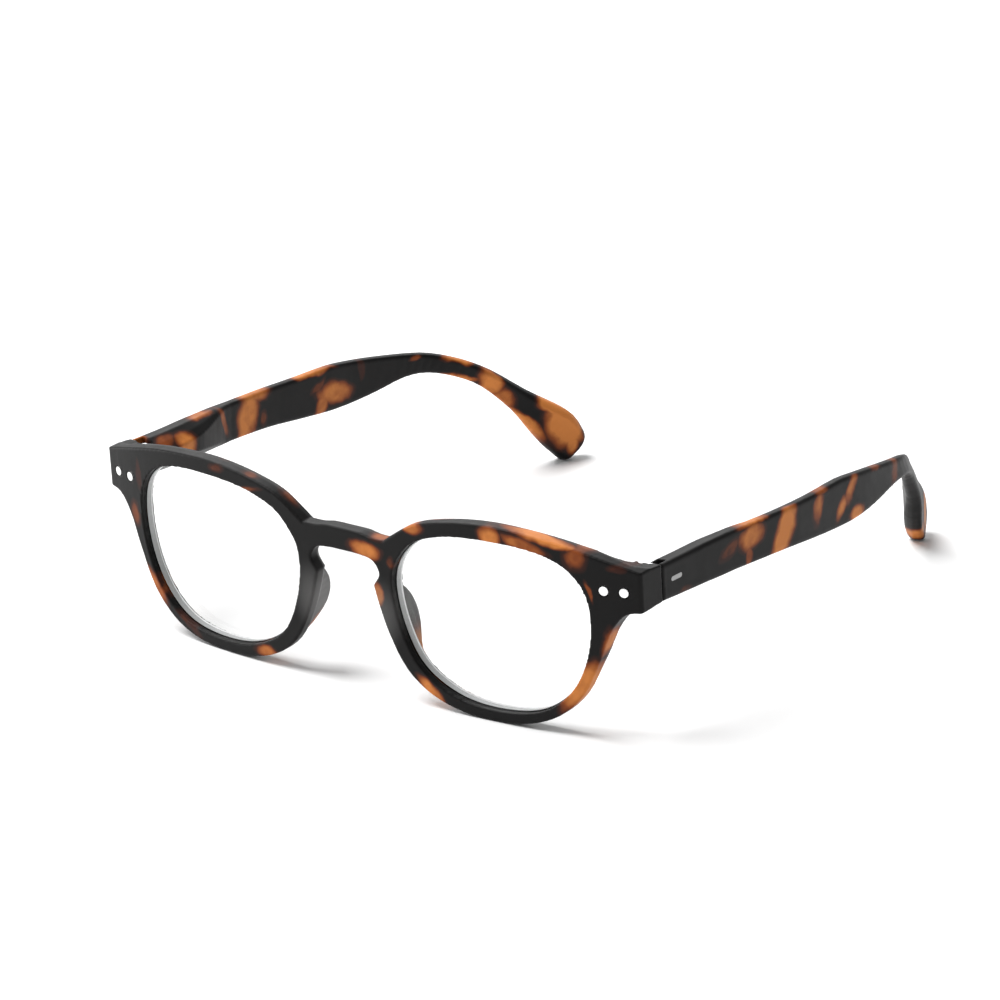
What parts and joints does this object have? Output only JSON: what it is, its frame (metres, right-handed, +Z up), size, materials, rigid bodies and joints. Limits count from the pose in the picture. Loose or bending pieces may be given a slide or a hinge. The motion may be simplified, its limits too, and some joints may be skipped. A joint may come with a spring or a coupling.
{
  "type": "folding reading glasses",
  "caption": "Keyhole-bridge reading glasses with moulded nose pads, clear lenses and spring-hinged temples that fold flat behind the front.",
  "frame": {"origin": "middle of the bounding box, on the table that the glasses stand on", "axes": "+Z up, the front faces -Y, the open temples run back along +Y, +X is the wearer's left"},
  "size_m": [0.1434, 0.1484, 0.0438],
  "materials": {
    "tortoise": "soft-touch matte charcoal with soft-edged amber and red-brown tortoiseshell patches",
    "lens": "clear polished lens with a bright bevelled edge",
    "rivet": "polished bright metal, flush",
    "hinge_metal": "plated, satin",
    "screw": "turned and slotted",
    "washer": "pale nylon",
    "spring": "drawn spring wire"
  },
  "bodies": {
    "front": {"front_frame": "tortoise", "left_lens": "lens", "left_rivet_inner": "rivet", "left_rivet_outer": "rivet", "left_hinge_leaf": "hinge_metal", "left_hinge_screw": "screw", "right_lens": "lens", "right_rivet_inner": "rivet", "right_rivet_outer": "rivet", "right_hinge_leaf": "hinge_metal", "right_hinge_screw": "screw"},
    "left_friction_washer": {"left_washer_upper": "washer"},
    "left_loose_washer": {"left_washer_lower": "washer"},
    "left_slider": {"left_hinge_slider": "hinge_metal", "left_slider_nut": "screw"},
    "left_arm": {"left_temple": "tortoise", "left_spring_housing": "hinge_metal", "left_coil_spring": "spring"},
    "right_friction_washer": {"right_washer_upper": "washer"},
    "right_loose_washer": {"right_washer_lower": "washer"},
    "right_slider": {"right_hinge_slider": "hinge_metal", "right_slider_nut": "screw"},
    "right_arm": {"right_temple": "tortoise", "right_spring_housing": "hinge_metal", "right_coil_spring": "spring"}
  },
  "joints": [
    {"name": "left_temple_fold", "type": "hinge", "parent": "front", "child": "left_friction_washer", "pos_m": [0.0674, -0.05817, 0.03414], "axis": [0, -0.0527, 0.9986], "range_deg": [0, 84.5]},
    {"name": "left_washer_turn", "type": "hinge", "parent": "front", "child": "left_loose_washer", "pos_m": [0.0674, -0.05817, 0.03414], "axis": [0, -0.0527, 0.9986], "continuous": true},
    {"name": "left_temple_flex", "type": "hinge", "parent": "left_friction_washer", "child": "left_slider", "pos_m": [0.0674, -0.05817, 0.03414], "axis": [0, -0.0527, 0.9986], "range_deg": [-10, 0], "stiffness_Nm_per_rad": 0.12, "springref_deg": 18.91},
    {"name": "left_slider_travel", "type": "slide", "parent": "left_slider", "child": "left_arm", "axis": [0, 0.9994, -0.0346], "range_m": [0, 0.00066], "deforming": ["left_coil_spring"]},
    {"name": "right_temple_fold", "type": "hinge", "parent": "front", "child": "right_friction_washer", "pos_m": [-0.0674, -0.05817, 0.03414], "axis": [0, 0.0527, -0.9986], "range_deg": [0, 80]},
    {"name": "right_washer_turn", "type": "hinge", "parent": "front", "child": "right_loose_washer", "pos_m": [-0.0674, -0.05817, 0.03414], "axis": [0, 0.0527, -0.9986], "continuous": true},
    {"name": "right_temple_flex", "type": "hinge", "parent": "right_friction_washer", "child": "right_slider", "pos_m": [-0.0674, -0.05817, 0.03414], "axis": [0, 0.0527, -0.9986], "range_deg": [-10, 0], "stiffness_Nm_per_rad": 0.12, "springref_deg": 18.91},
    {"name": "right_slider_travel", "type": "slide", "parent": "right_slider", "child": "right_arm", "axis": [0, 0.9994, -0.0346], "range_m": [0, 0.00066], "deforming": ["right_coil_spring"]}
  ],
  "couplings": [
    {"joint": "left_slider_travel", "follows": "left_temple_flex", "m_per_rad": -0.0036},
    {"joint": "right_slider_travel", "follows": "right_temple_flex", "m_per_rad": -0.0036}
  ]
}
